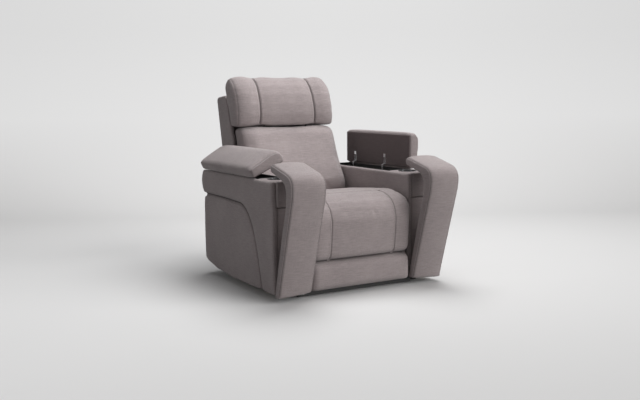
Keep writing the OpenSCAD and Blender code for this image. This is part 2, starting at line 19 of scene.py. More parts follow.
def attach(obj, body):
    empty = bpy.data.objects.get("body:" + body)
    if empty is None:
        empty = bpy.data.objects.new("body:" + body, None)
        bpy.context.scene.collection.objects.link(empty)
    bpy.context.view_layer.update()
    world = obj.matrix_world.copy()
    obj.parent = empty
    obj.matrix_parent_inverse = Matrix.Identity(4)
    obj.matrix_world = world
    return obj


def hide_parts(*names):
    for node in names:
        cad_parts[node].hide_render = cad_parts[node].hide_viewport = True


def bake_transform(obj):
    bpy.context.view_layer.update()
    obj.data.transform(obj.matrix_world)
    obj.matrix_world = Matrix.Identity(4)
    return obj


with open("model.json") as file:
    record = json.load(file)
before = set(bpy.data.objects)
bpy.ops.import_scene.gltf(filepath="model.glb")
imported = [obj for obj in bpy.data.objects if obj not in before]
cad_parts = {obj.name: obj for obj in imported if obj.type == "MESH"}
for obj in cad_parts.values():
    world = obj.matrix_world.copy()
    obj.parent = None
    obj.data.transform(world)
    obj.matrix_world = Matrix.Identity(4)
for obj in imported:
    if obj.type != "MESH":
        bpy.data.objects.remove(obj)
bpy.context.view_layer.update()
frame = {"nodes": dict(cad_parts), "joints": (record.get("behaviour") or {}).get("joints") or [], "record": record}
hinges = {joint["name"]: joint for joint in frame["joints"]}

# %% [markdown]
# ## The camera
# The seat is seen from its left front, a little above arm height. The place, the turn and the lens below
# come from the seat's own parallel edges: the arms, the bands and the lids give three vanishing
# directions.

# %% Place the camera
AZIMUTH, ELEVATION, ROLL = (math.radians(v) for v in (-30.324, 7.131, -0.4))
CAMERA_PLACE = Vector((-2.1721, -3.7622, 0.9465))
FOCAL_PX, PHOTO_W, SENSOR = 827.58, 640, 36.0

backward = Vector((math.sin(AZIMUTH) * math.cos(ELEVATION), -math.cos(AZIMUTH) * math.cos(ELEVATION),
                   math.sin(ELEVATION)))
level_right = (-backward).cross(Vector((0, 0, 1))).normalized()
level_up = level_right.cross(-backward).normalized()
right = math.cos(ROLL) * level_right + math.sin(ROLL) * level_up
up = math.cos(ROLL) * level_up - math.sin(ROLL) * level_right

camera = bpy.data.objects.new("camera", bpy.data.cameras.new("camera"))
camera.data.sensor_width = SENSOR
camera.data.lens = FOCAL_PX / PHOTO_W * SENSOR
turn = Matrix((right, up, backward)).transposed().to_4x4()
camera.matrix_world = Matrix.Translation(CAMERA_PLACE) @ turn
bpy.context.scene.collection.objects.link(camera)
bpy.context.scene.camera = camera
print("lens", round(camera.data.lens, 2), "mm")

# %% [markdown]
# ## Shader maths as plain expressions
# A procedural finish is a small formula over the surface. Wrapping a socket in a class lets the formula
# be written with ordinary operators, so that `1 - mask * 0.2` adds the Math nodes by itself.


# %% A socket that can be added and multiplied
class Wire:
    def __init__(self, shader, socket):
        self.shader = shader
        self.socket = socket

    def math(self, operation, *others):
        return self.shader.node("ShaderNodeMath", {"operation": operation}, self, *others)

    def __add__(self, other):
        return self.math("ADD", other)

    def __radd__(self, other):
        return self.math("ADD", other)

    def __sub__(self, other):
        return self.math("SUBTRACT", other)

    def __rsub__(self, other):
        return self.shader.node("ShaderNodeMath", {"operation": "SUBTRACT"}, other, self)

    def __mul__(self, other):
        return self.math("MULTIPLY", other)

    def __rmul__(self, other):
        return self.math("MULTIPLY", other)

    def __truediv__(self, other):
        return self.math("DIVIDE", other)

    def __gt__(self, other):
        return self.math("GREATER_THAN", other)

    def sin(self):
        return self.math("SINE")

    def size(self):
        return self.math("ABSOLUTE")

    def clamp(self):
        return self.shader.node("ShaderNodeClamp", {}, self)

    def outputs(self, *keys):
        """Other outputs of the node that this one comes from."""
        return [Wire(self.shader, self.socket.node.outputs[key]) for key in keys]


print("operators ready")

# %% [markdown]
# ## One material
# A material is a surface node fed by values that are plain numbers or wires. Every other node comes from
# one method, which takes the node's type, its settings and the values of its sockets. The named methods
# below it only save typing.


# %% A material and the method that adds its nodes
class Shader:
    def __init__(self, name):
        self.material = bpy.data.materials.new(name)
        self.material.use_nodes = True
        self.tree = self.material.node_tree
        self.surface = self.tree.nodes["Principled BSDF"]

    def node(self, kind, settings, *values, out=0, **named):
        made = self.tree.nodes.new(kind)
        for key, value in settings.items():
            setattr(made, key, value)
        wanted = list(enumerate(values)) + [(key.replace("_", " "), value) for key, value in named.items()]
        for key, value in wanted:
            self.feed(made.inputs[key], value)
        return Wire(self, made.outputs[out])

    def feed(self, socket, value):
        if isinstance(value, Wire):
            self.tree.links.new(value.socket, socket)
        else:
            socket.default_value = value

    def set(self, **named):
        for key, value in named.items():
            self.feed(self.surface.inputs[key.replace("_", " ")], value)

    def place(self):
        return self.node("ShaderNodeTexCoord", {}, out="Object")

    def split(self, vector):
        return self.node("ShaderNodeSeparateXYZ", {}, vector).outputs(0, 1, 2)

    def join(self, x, y, z):
        return self.node("ShaderNodeCombineXYZ", {}, x, y, z)

    def noise(self, vector, scale, detail=2.0, roughness=0.5):
        return self.node("ShaderNodeTexNoise", {}, Vector=vector, Scale=scale, Detail=detail,
                         Roughness=roughness)

    def tint(self, colour, amount):
        """The colour times an amount that varies over the surface."""
        grey = self.join(amount, amount, amount)
        return self.node("ShaderNodeVectorMath", {"operation": "MULTIPLY"}, colour[:3], grey)

    def bump(self, height, distance, strength):
        return self.node("ShaderNodeBump", {}, Height=height, Distance=distance, Strength=strength)


def srgb(*levels):
    """A colour written as 0 to 255 screen levels, as linear light, by the screen standard's own formula."""
    shares = [level / 255 for level in levels]
    return tuple(v / 12.92 if v <= 0.04 else ((v + 0.055) / 1.055) ** 2.4 for v in shares) + (1.0,)


print("shader helpers ready")

# %% [markdown]
# ## Woven upholstery
# The cover is a taupe plain weave with thicker slub yarns running across it. A weave has to lie flat on
# every face without any unwrapping, so the two thread directions are picked by the way the surface faces:
# side faces use Y and Z, front faces X and Z, and top faces X and Y. The threads only make a bump and a
# slight change of shade. Slubs are long noise streaks, and a broad, faint noise stands for the way
# handled cloth lies.


# %% Find the thread directions and weave them
def thread_directions(shader):
    x, y, z = shader.split(shader.place())
    nx, ny, nz = shader.split(shader.node("ShaderNodeTexCoord", {}, out="Normal"))
    side = (nx.size() - ny.size()) * ((nx.size() - nz.size()) > 0) > 0
    top = (nz.size() - ny.size()) * ((nz.size() - nx.size()) > 0) > 0
    across = x * (1 - side) + y * side
    along = z * (1 - top) + y * top
    return across, along


def weave_height(across, along, thread):
    """How high the thread that lies on top is, as half waves of both thread directions."""
    warp = (across * (math.pi / thread)).sin()
    weft = (along * (math.pi / thread)).sin()
    over = warp * weft > 0
    return warp.size() * over + weft.size() * (1 - over)


print("weave ready")

# %% [markdown]
# ## Three kinds of cloth
# The seat's cover, the dark liner under the lids and the sewing thread are one finish with other numbers.
# Its shade is the sum of five small changes, each with its own share of the contrast. In a seam's valley
# the cloth is also darker, which is painted shade, by a value that sewing leaves on the points of the
# mesh.

# %% Make the cloth finishes
THREAD, FINE_THREAD, SEWING_THREAD = 0.0019, 0.0012, 0.0006
SLUB_LONG, SLUB_FINE = 22.0, 200.0
HEATHER_SCALE, WEAR_SCALE = 900.0, 5.0
SLUB_SHARE, CROSS_SLUB_SHARE, HEATHER_SHARE, THREAD_SHARE, WEAR_SHARE = 1.3, 0.5, 1.2, 0.5, 0.9
MEAN_THREAD = 0.6
SEAM_SHADE = 0.75
CLOTH_ROUGHNESS, WEAR_ROUGHNESS = 0.88, 0.1
THREAD_HEIGHT, SLUB_HEIGHT, HEATHER_HEIGHT = 0.6, 0.5, 0.25
WEAVE_DEPTH, WEAVE_STRENGTH = 0.0006, 0.9


def cloth_finish(name, colour, contrast, thread=THREAD, sheen=0.25):
    shader = Shader(name)
    across, along = thread_directions(shader)
    threads = weave_height(across, along, thread)
    slub = shader.noise(shader.join(across * SLUB_LONG, along * SLUB_FINE, 0.0), 1.0, 3.0, 0.6)
    cross_slub = shader.noise(shader.join(across * SLUB_FINE, along * SLUB_LONG, 3.0), 1.0, 2.0, 0.6)
    heather = shader.noise(shader.place(), HEATHER_SCALE, 1.0)
    worn = shader.noise(shader.place(), WEAR_SCALE, 3.0, 0.55)
    shade = (1 + (slub - 0.5) * contrast * SLUB_SHARE + (cross_slub - 0.5) * contrast * CROSS_SLUB_SHARE
             + (heather - 0.5) * contrast * HEATHER_SHARE + (threads - MEAN_THREAD) * contrast * THREAD_SHARE
             + (worn - 0.5) * contrast * WEAR_SHARE)
    # painted shade: the cloth is darker in the valleys of the seams
    painted_seam_shade = shader.node("ShaderNodeAttribute", {"attribute_name": "seam"}, out="Fac")
    shade = shade * (1 - painted_seam_shade * SEAM_SHADE)
    shader.set(Base_Color=shader.tint(colour, shade),
               Roughness=(worn - 0.5) * WEAR_ROUGHNESS + CLOTH_ROUGHNESS)
    height = threads * THREAD_HEIGHT + slub * SLUB_HEIGHT + heather * HEATHER_HEIGHT
    shader.set(Normal=shader.bump(height, WEAVE_DEPTH, WEAVE_STRENGTH))
    shader.set(Sheen_Weight=sheen, Sheen_Roughness=0.5, Specular_IOR_Level=0.25)
    return shader.material


upholstery = cloth_finish("taupe_weave", srgb(150, 140, 140), 0.42)
liner_cloth = cloth_finish("dark_liner_weave", srgb(106, 95, 95), 0.24, thread=FINE_THREAD, sheen=0.1)
thread_finish = cloth_finish("sewing_thread", srgb(128, 118, 117), 0.1, thread=SEWING_THREAD)
print("cloth finishes", upholstery.name, liner_cloth.name, thread_finish.name)

# %% [markdown]
# ## Metal and coated parts
# The mechanism is powder-coated or zinc-plated steel, the bins and the skirt are moulded plastic, and the
# cup rims and lid hinges are brushed or polished. Each finish varies slightly over its surface in colour
# and roughness, at the scale of its making: rolling lines and hand marks on bare metal, fine orange peel
# and dust on a coat.

# %% Make the metal and coated finishes
ROLLING_LINES = (6.0, 300.0, 300.0)
MARK_SCALE, MARK_SHADE = 35.0, 0.16
LINE_DEPTH = 0.00012
DUST_SCALE, DUST_SHADE, DUST_ROUGHNESS = 9.0, 0.35, 0.12


def metal_finish(name, colour, roughness, scratch):
    shader = Shader(name)
    place = shader.place()
    lines = shader.node("ShaderNodeVectorMath", {"operation": "MULTIPLY"}, place, ROLLING_LINES)
    brushed = shader.noise(lines, 1.0, 3.0, 0.6)
    marks = shader.noise(place, MARK_SCALE, 4.0, 0.6)
    shader.set(Base_Color=shader.tint(colour, 1 + (marks - 0.5) * MARK_SHADE), Metallic=1.0,
               Roughness=roughness + (brushed - 0.5) * scratch + (marks - 0.5) * scratch)
    shader.set(Normal=shader.bump(brushed, LINE_DEPTH, 0.5))
    return shader.material


def coated_finish(name, colour, roughness, grain, depth):
    shader = Shader(name)
    place = shader.place()
    peel = shader.noise(place, grain, 2.0, 0.5)
    dust = shader.noise(place, DUST_SCALE, 4.0, 0.6)
    shader.set(Base_Color=shader.tint(colour, 1 + (dust - 0.5) * DUST_SHADE),
               Roughness=roughness + (dust - 0.5) * DUST_ROUGHNESS)
    shader.set(Normal=shader.bump(peel, depth, 0.6))
    return shader.material


polished = metal_finish("polished_steel", (0.90, 0.90, 0.91, 1), 0.42, 0.16)
dark_steel = metal_finish("dark_steel", (0.16, 0.16, 0.165, 1), 0.26, 0.14)
zinc = metal_finish("zinc_plate", (0.56, 0.57, 0.58, 1), 0.38, 0.20)
black_steel = coated_finish("black_powder_coat", (0.018, 0.018, 0.019, 1), 0.48, 700.0, 0.0003)
black_plastic = coated_finish("black_moulded_plastic", (0.022, 0.022, 0.022, 1), 0.55, 1100.0, 0.0002)
grey_plastic = coated_finish("grey_moulded_plastic", (0.10, 0.10, 0.105, 1), 0.50, 1000.0, 0.0002)
print("hard finishes", polished.name, dark_steel.name, zinc.name, black_steel.name)

# %% [markdown]
# ## Plywood
# The arms are boxes of plywood under the padding. Wood varies in long streaks along its grain. Where the
# open lids leave the rim of the bins in sight, the edge is dark, so the board is darker above that
# height.

# %% Make the plywood finish
RIM_BOTTOM, RIM_BLEND, RIM_DARKENING = 0.50, 0.01, 0.9
GRAIN_SCALE, FIBRE_SCALE = (30.0, 9.0, 60.0), (500.0, 40.0, 500.0)


def ply_finish(name, colour):
    shader = Shader(name)
    x, y, z = shader.split(shader.place())
    grain, fibre = (shader.noise(shader.join(x * scale[0], y * scale[1], z * scale[2]), 1.0, detail, rough)
                    for scale, detail, rough in ((GRAIN_SCALE, 5.0, 0.65), (FIBRE_SCALE, 2.0, 0.5)))
    # the board is darker above the rim's height
    rim = ((z - RIM_BOTTOM) / RIM_BLEND).clamp()
    shade = 1 + (grain - 0.5) * 0.5 + (fibre - 0.5) * 0.2
    shader.set(Base_Color=shader.tint(colour, shade * (1 - rim * RIM_DARKENING)),
               Roughness=0.62 + (grain - 0.5) * 0.2)
    shader.set(Normal=shader.bump(fibre, 0.0003, 0.6))
    return shader.material


plywood = ply_finish("raw_plywood", (0.52, 0.36, 0.21, 1))
print("wood finish", plywood.name)

# %% [markdown]
# ## Finishes on the construction model
# The record names a finish for every node. Nodes that padding replaces get one too, which costs nothing.

# %% Put the finishes on the nodes
FINISH_OF_SLOT = {
    "upholstery": upholstery, "liner_cloth": liner_cloth, "black_steel": black_steel, "zinc_steel": zinc,
    "black_plastic": black_plastic, "grey_plastic": grey_plastic, "plywood": plywood,
    "polished_steel": polished, "dark_steel": dark_steel,
}
for entry in frame["record"]["subparts"]:
    hard = frame["nodes"][entry["node"]]
    hard.data.materials.clear()
    hard.data.materials.append(FINISH_OF_SLOT[entry["material_slot"]])
print(len(FINISH_OF_SLOT), "finishes on", len(frame["nodes"]), "nodes")

# %% [markdown]
# ## From block to padding
# A pad is foam in a sewn cover, so it has rounded edges, a slight crown and deep lines where it is sewn.
# The plain block already has the right outline. It is copied, rebuilt as an even grid of small faces by a
# voxel remesh, and smoothed until its edges are as round as foam makes them. Modelling each pad by hand
# would give the same shape with much more work, and a bevel would keep the flat faces that give a block
# away.


# %% Make new pieces
def new_piece(name, mesh):
    piece = bpy.data.objects.new(name, mesh)
    bpy.context.scene.collection.objects.link(piece)
    return piece


def built_piece(name, build):
    """Turns a finished bmesh into a piece."""
    mesh = bpy.data.meshes.new(name)
    build.to_mesh(mesh)
    build.free()
    return new_piece(name, mesh)


def block_copy(name, *nodes):
    """One new mesh with the shapes of the named blocks, its doubled corner points joined."""
    build = bmesh.new()
    for node in nodes:
        build.from_mesh(frame["nodes"][node].data)
    bmesh.ops.remove_doubles(build, verts=build.verts, dist=1e-5)
    piece = built_piece(name, build)
    piece.data.materials.clear()
    return piece


def skin(build, rings):
    """Joins a row of closed rings of points into one closed surface."""
    count = len(rings[0])
    for low, high in zip(rings[:-1], rings[1:]):
        for k in range(count):
            build.faces.new((low[k], low[(k + 1) % count], high[(k + 1) % count], high[k]))
    build.faces.new(list(reversed(rings[0])))
    build.faces.new(rings[-1])


print("piece helpers ready")

# %% [markdown]
# ## Changing a mesh as an array of points
# Blender hands out a mesh's points as one flat array. As rows of X, Y and Z, a whole cushion is shaped by
# one line of arithmetic, and the direction in which each point faces tells which side of the cushion it
# is on.


# %% Read, move and smooth the points
def get_points(piece):
    flat = np.empty(len(piece.data.vertices) * 3)
    piece.data.vertices.foreach_get("co", flat)
    return flat.reshape(-1, 3)


def set_points(piece, points):
    piece.data.vertices.foreach_set("co", points.ravel())
    piece.data.update()


def get_normals(piece):
    flat = np.empty(len(piece.data.vertices) * 3)
    piece.data.vertices.foreach_get("normal", flat)
    return flat.reshape(-1, 3)


def settle(piece):
    """Turns the piece's modifiers into its mesh."""
    graph = bpy.context.evaluated_depsgraph_get()
    mesh = bpy.data.meshes.new_from_object(piece.evaluated_get(graph))
    piece.modifiers.clear()
    piece.data = mesh
    return piece


def modify(piece, kind, **settings):
    modifier = piece.modifiers.new(kind.title(), kind)
    for key, value in settings.items():
        setattr(modifier, key, value)
    return settle(piece)


def smooth(piece, rounds):
    return modify(piece, "SMOOTH", factor=0.5, iterations=rounds)


def round_off(piece, voxel, rounds, grow=0.0015):
    """Rounds the edges. Smoothing shrinks a body a little, so it is grown again."""
    modify(piece, "REMESH", mode="VOXEL", voxel_size=voxel)
    smooth(piece, rounds)
    set_points(piece, get_points(piece) + get_normals(piece) * grow)
    return piece


print("padding helpers ready")

# %% [markdown]
# ## Air in the cushions
# Foam under a tight cover pushes outward, most in the middle of a face and least at the seams. Cloth
# simulation with inner pressure and no gravity does the same to a closed mesh. The result is capped, so
# that a cushion never swells out of the room it has, and it is written into the mesh.

# %% Blow up a cushion
SIM_FRAMES, SETTLE_ROUNDS = 20, 6
PRESSURE, STRETCH_STIFFNESS, BEND_STIFFNESS = 4.0, 20, 2


def blow_up(piece, cap, share):
    """A share of what the air does is kept, because foam is firmer than air."""
    before = get_points(piece)
    cloth = piece.modifiers.new("Cloth", "CLOTH")
    cloth.settings.use_pressure = True
    cloth.settings.uniform_pressure_force = PRESSURE
    cloth.settings.effector_weights.gravity = 0
    cloth.settings.quality = 4
    cloth.settings.tension_stiffness = STRETCH_STIFFNESS
    cloth.settings.compression_stiffness = STRETCH_STIFFNESS
    cloth.settings.bending_stiffness = BEND_STIFFNESS
    cloth.point_cache.frame_start = 1
    cloth.point_cache.frame_end = SIM_FRAMES
    for step in range(1, SIM_FRAMES + 1):
        bpy.context.scene.frame_set(step)
    settle(piece)
    bpy.context.scene.frame_set(1)
    move = get_points(piece) - before
    length = np.linalg.norm(move, axis=1, keepdims=True)
    set_points(piece, before + share * move * np.minimum(1, cap / np.maximum(length, 1e-9)))
    smooth(piece, SETTLE_ROUNDS)
    print(piece.name, "swelled by up to", round(float(length.max()) * 1000, 1), "mm before the cap")
    return piece


print("air ready")

# %% [markdown]
# ## Lines on the surface
# A seam is drawn as a few points. The padding has swelled or shrunk since, so the line is first laid on
# the surface. Then each point of the mesh can be told how far it is from the line.


# %% Lay a line on a piece and measure from it
def line_distance(points, line):
    """Distance of every point from a line of straight pieces."""
    nearest = np.full(len(points), np.inf)
    line = np.asarray(line, float)
    for a, b in zip(line[:-1], line[1:]):
        step = b - a
        along = np.clip(((points - a) @ step) / max(step @ step, 1e-12), 0, 1)
        nearest = np.minimum(nearest, np.linalg.norm(points - a - along[:, None] * step, axis=1))
    return nearest


def even_steps(line, step):
    """The line's points, spaced evenly."""
    line = np.asarray(line, float)
    run = np.concatenate([[0], np.cumsum(np.linalg.norm(np.diff(line, axis=0), axis=1))])
    count = max(2, int(run[-1] / step) + 1)
    wanted = np.linspace(0, run[-1], count)
    return np.stack([np.interp(wanted, run, line[:, k]) for k in range(3)], axis=1)


LINE_STEP, REACH = 0.008, 0.04


def surface_of(piece):
    return BVHTree.FromObject(piece, bpy.context.evaluated_depsgraph_get())


def on_surface(piece, line):
    """The line laid on the piece."""
    surface = surface_of(piece)
    hits = [surface.find_nearest(Vector(point), REACH)[0] for point in even_steps(line, LINE_STEP)]
    return np.array([hit for hit in hits if hit])


print("line helpers ready")

# %% [markdown]
# ## Seams
# A seam pulls the cover into a narrow valley. Every point of the mesh is moved inward by an amount that
# falls off with its distance from the seam's line. Close to a seam the padding also starts lower, so a
# wide, shallow valley goes with the narrow, deep one. The mesh is split finer near the line first, or the
# valley would be lost between its points. How deep each point lies is kept as a value, by which the cloth
# finish paints shade into the seam.

# %% Sew a seam
REFINE_REACHES = (0.016, 0.009)
SHADE_WIDTH = 0.6


def refine(piece, lines):
    """Splits the mesh edges near the lines, twice where it is nearest."""
    for reach in REFINE_REACHES:
        points = get_points(piece)
        near = np.min([line_distance(points, line) for line in lines], axis=0) < reach
        build = bmesh.new()
        build.from_mesh(piece.data)
        edges = [edge for edge in build.edges if near[edge.verts[0].index] and near[edge.verts[1].index]]
        bmesh.ops.subdivide_edges(build, edges=edges, cuts=1, use_grid_fill=True)
        build.to_mesh(piece.data)
        build.free()
        piece.data.update()


def paint_seam_shade(piece, amount):
    """Keeps the painted seam shade of each point, beside that of seams sewn before."""
    layer = piece.data.attributes.get("seam")
    before = np.zeros(len(amount))
    if layer:
        layer.data.foreach_get("value", before)
    else:
        layer = piece.data.attributes.new("seam", "FLOAT", "POINT")
    layer.data.foreach_set("value", np.maximum(before, amount))


def sew(piece, *lines, deep, narrow, soft, wide, dark):
    """Two valleys along each line: one is deep and narrow, the other soft and wide. Painted shade follows the
    narrow one.
    """
    lines = [on_surface(piece, line) for line in lines]
    refine(piece, lines)
    points, normals = get_points(piece), get_normals(piece)
    inside = np.zeros(len(points))
    for line in lines:
        away = line_distance(points, line)
        valley = deep * np.exp(-((away / narrow) ** 2)) + soft * np.exp(-((away / wide) ** 2))
        points = points - normals * valley[:, None]
        # painted shade, strongest on the seam's line
        inside = np.maximum(inside, np.exp(-((away / (narrow * SHADE_WIDTH)) ** 2)))
    set_points(piece, points)
    paint_seam_shade(piece, inside * dark)
    return piece


print("seams ready")

# %% [markdown]
# ## Stitches
# The thread beside a seam is a row of short beads that lie on the surface. Real beads are used instead of
# a bump, because they also catch the light from the side.

# %% Lay a row of stitches
STITCH, STITCH_GAP, THREAD_R = 0.0052, 0.0022, 0.0007
SHORTEST_STITCH, BEAD_LIFT = 0.002, 0.4
BEAD_PROFILE = ((0.0, 0.35), (0.2, 1.0), (0.8, 1.0), (1.0, 0.35))
BEAD_SIDES = 6


def add_stitch(build, a, b, normal):
    """A low rounded thread from a to b."""
    ahead = (b - a).normalized()
    beside = ahead.cross(normal).normalized()
    rings = []
    for share, size in BEAD_PROFILE:
        centre = a.lerp(b, share)
        turns = [k * 2 * math.pi / BEAD_SIDES for k in range(BEAD_SIDES)]
        spokes = [beside * math.cos(turn) + normal * math.sin(turn) for turn in turns]
        rings.append([build.verts.new(centre + THREAD_R * size * spoke) for spoke in spokes])
    skin(build, rings)


def stitch_row(name, piece, lines, aside, body=None):
    """Stitches beside each line, laid on the piece's surface."""
    surface = surface_of(piece)
    build = bmesh.new()
    for line in lines:
        spots = even_steps(line, STITCH + STITCH_GAP)
        for k in range(len(spots) - 1):
            a, b = Vector(spots[k]), Vector(spots[k + 1])
            b = a.lerp(b, STITCH / (STITCH + STITCH_GAP))
            place, normal = surface.find_nearest(a, REACH)[:2]
            if place is None:
                continue
            shift = (b - a).cross(normal).normalized() * aside
            start, end = (surface.find_nearest(p + shift, REACH) for p in (a, b))
            if start[0] is None or end[0] is None or (end[0] - start[0]).length < SHORTEST_STITCH:
                continue
            lift = normal * THREAD_R * BEAD_LIFT
            add_stitch(build, start[0] + lift, end[0] + lift, start[1])
    row = built_piece(name, build)
    row.data.materials.append(thread_finish)
    row.data.shade_smooth()
    if body:
        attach(row, body)
    return row


print("stitches ready")

# %% [markdown]
# ## Finishing a pad
# Each pad ends the same way: a level of subdivision where its outline needs it, the cloth finish and the
# name of the body that it moves with, and the blocks that it stands for are hidden.


# %% Hand a pad over
def finish_pad(piece, body, blocks, finish=upholstery, levels=1):
    if levels:
        modify(piece, "SUBSURF", levels=levels, render_levels=levels)
    piece.data.materials.clear()
    piece.data.materials.append(finish)
    piece.data.shade_smooth()
    if body:
        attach(piece, body)
    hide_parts(*blocks)
    print(piece.name, len(piece.data.vertices), "points")
    return piece


print("hand-over ready")

# %% [markdown]
# ## Shared sizes and curves
# Both arms are 18 cm wide and stand 58 cm apart. The seams of the arms and the bands' sides are drawn as
# one smooth curve each in the side view, and then placed at the X of the face that they lie on.

# %% Set the sizes that several pieces share
SIDES = {"left": -1, "right": 1}
ARM_IN, ARM_OUT = 0.290, 0.470
FINE, COARSE = 0.0055, 0.0075


def cubic(a, b, c, d, steps):
    """Points along a curve that leaves a towards b and reaches d from c."""
    a, b, c, d = (np.asarray(p, float) for p in (a, b, c, d))
    return [a * (1 - t) ** 3 + 3 * b * (1 - t) ** 2 * t + 3 * c * (1 - t) * t * t + d * t ** 3
            for t in (k / steps for k in range(steps + 1))]


def at_x(x, outline):
    """(y, z) points as 3-D points at one x."""
    return [(x, float(y), float(z)) for y, z in outline]


print("arms from", ARM_IN, "to", ARM_OUT)

# %% [markdown]
# ## Arm sides
# Each arm side is two pads that meet in one long seam. It falls steeply from the curved band, turns and
# runs level to the back, where the upper pad bulges out over the lower one. Both blocks become one piece,
# so that the seam is a valley in one skin instead of a slit between two. The seam's line is the edge that
# the blocks share.

# %% Upholster the arm sides
ARM_SEAM = cubic((-0.290, 0.040), (-0.255, 0.215), (-0.215, 0.400), (-0.060, 0.427), 12) + [
    (0.155, 0.433), (0.356, 0.434)]
ARM_HEIGHTS = ((0.43, 0.57), (0.04, 0.43))
BELLY = 0.004
ARM_STITCHES = {"upper": 0.010, "lower": -0.010}


def belly(piece, side, low, high):
    """Pushes the outer face out in the middle of its height."""
    points, normals = get_points(piece), get_normals(piece)
    rise = np.clip((points[:, 2] - low) / (high - low), 0, 1)
    outward = np.clip(normals[:, 0] * side, 0, 1) ** 2
    points[:, 0] += side * BELLY * outward * np.sin(math.pi * rise)
    set_points(piece, points)


for name, side in SIDES.items():
    nodes = [f"arm_upper_panel_{name}", f"arm_lower_panel_{name}"]
    pad = round_off(block_copy(f"padded_arm_side_{name}", *nodes), FINE, rounds=5)
    seam = at_x(side * ARM_OUT, ARM_SEAM)
    for low, high in ARM_HEIGHTS:
        belly(pad, side, low, high)
    sew(pad, seam, deep=0.009, narrow=0.0055, soft=0.005, wide=0.028, dark=1.0)
    finish_pad(pad, "base", nodes, levels=0)
    for edge, aside in ARM_STITCHES.items():
        stitch_row(f"stitches_arm_{edge}_{name}", pad, [seam], aside, "base")

# %% [markdown]
# ## Small pads of the arm
# The inner panels, the front pads, the caps that close the arm in front and the rear pads are thin boards
# of foam in cloth. They only need their edges rounded. The inner panel is broad and mostly hidden, so it
# gets a coarser grid of faces and no subdivision.

# %% Upholster the rest of the arms
SMALL_PADS = (("inner_panel", COARSE, 4, 0), ("front_pad", FINE, 4, 1), ("cap", FINE, 3, 1),
              ("rear_pad", FINE, 4, 1))

for name in SIDES:
    for part, voxel, rounds, levels in SMALL_PADS:
        node = f"arm_{part}_{name}"
        pad = round_off(block_copy(f"padded_{node}", node), voxel, rounds)
        finish_pad(pad, "base", [node], levels=levels)

# %% [markdown]
# ## The curved bands
# The band is the seat's most striking line. One thick strip rises from the floor, leans out, and curls
# back over the arm's front end. Its edges carry a sewn welt on both sides, so the strip looks like three
# panels: a broad crowned face and two narrow sides. The crown and the foot, which stands lower at its
# outer corner, are arithmetic on the points, because they are too slight to model by hand.

# %% Upholster the bands
BAND_CURL = cubic((-0.583, 0.424), (-0.620, 0.535), (-0.618, 0.585), (-0.563, 0.604), 14)
BAND_LINE = [(-0.467, 0.035)] + BAND_CURL + [(-0.493, 0.622), (-0.412, 0.642)]
WELT_INSET, WELT_ASIDE = 0.003, 0.009
CROWN, CROWN_HALF = 0.010, 0.088
FORWARD_UP = np.array((0.0, -0.8, 0.6))
FOOT_DROP, FOOT_TOP, FOOT_FADE = 0.012, 0.10, 0.07


def shape_band(piece):
    """Domes the broad face and lets the foot down at its outer corner."""
    points, normals = get_points(piece), get_normals(piece)
    beside = np.abs(points[:, 0]) - (ARM_IN + ARM_OUT) / 2
    crown = np.clip(1 - (beside / CROWN_HALF) ** 2, 0, 1)
    facing = np.clip(normals @ FORWARD_UP, 0, 1)
    points = points + normals * (CROWN * crown * facing)[:, None]
    foot = np.clip((FOOT_TOP - points[:, 2]) / FOOT_FADE, 0, 1)
    outer = np.clip((np.abs(points[:, 0]) - ARM_IN) / (ARM_OUT - ARM_IN), 0, 1)
    points[:, 2] -= FOOT_DROP * foot * outer
    set_points(piece, points)


for name, side in SIDES.items():
    node = f"arm_band_{name}"
    band = round_off(block_copy(f"padded_{node}", node), FINE, rounds=6)
    welts = [at_x(side * x, BAND_LINE) for x in (ARM_IN + WELT_INSET, ARM_OUT - WELT_INSET)]
    shape_band(band)
    sew(band, *welts, deep=0.003, narrow=0.005, soft=0.002, wide=0.02, dark=0.7)
    finish_pad(band, "base", [node])
    stitch_row(f"stitches_{node}", band, [welts[0]], side * WELT_ASIDE, "base")
    stitch_row(f"stitches_outer_{node}", band, [welts[1]], -side * WELT_ASIDE, "base")

# %% [markdown]
# ## Where the lids stand
# The blocks of the lids rest open, but a lid is easier to describe closed. Its lines are therefore given
# closed and turned about the hinge. Both hinges come from the construction model: closed is the lower end
# of each hinge's range, so that end also says how far the lid stands open at rest.

# %% Turn points open with their lid
pin_x, pin_z = (hinges["right_lid_hinge"]["pos_m"][k] for k in (0, 2))
LID_OPEN = {name: math.radians(-hinges[f"{name}_lid_hinge"]["range_deg"][0]) for name in SIDES}
LID_FRONT, LID_REAR = -0.225, 0.400
LID_X = (ARM_IN + ARM_OUT) / 2


def on_lid(name, across, y, z):
    """A point of the closed lid, turned open with it."""
    angle = LID_OPEN[name]
    u, w = across - pin_x, z - pin_z
    return (SIDES[name] * (pin_x + u * math.cos(angle) + w * math.sin(angle)), y,
            pin_z - u * math.sin(angle) + w * math.cos(angle))


def lid_across(name):
    """The direction across the open lid, from its inner side to the hinge."""
    return np.array([SIDES[name] * math.cos(LID_OPEN[name]), 0, -math.sin(LID_OPEN[name])])


def lid_outward(name):
    """The direction that the open lid's padded face looks in."""
    return np.array([SIDES[name] * math.sin(LID_OPEN[name]), 0, math.cos(LID_OPEN[name])])


print("lids open by", {name: round(math.degrees(angle), 1) for name, angle in LID_OPEN.items()}, "degrees")

# %% [markdown]
# ## Lids
# The lids are padded too, with full rounded edges and a seam round each end. The face is domed and falls
# off at both ends, and the long sides are swelled until the lid closes its gap at the hinge.

# %% Shape a lid
LID_CROWN_LONG, LID_SIDE_LONG = 0.305, 0.318
TIP_DROP, TIP_START, TIP_FADE = 0.011, 0.265, 0.048
OUTER_SWELL, INNER_SWELL = 0.006, 0.005


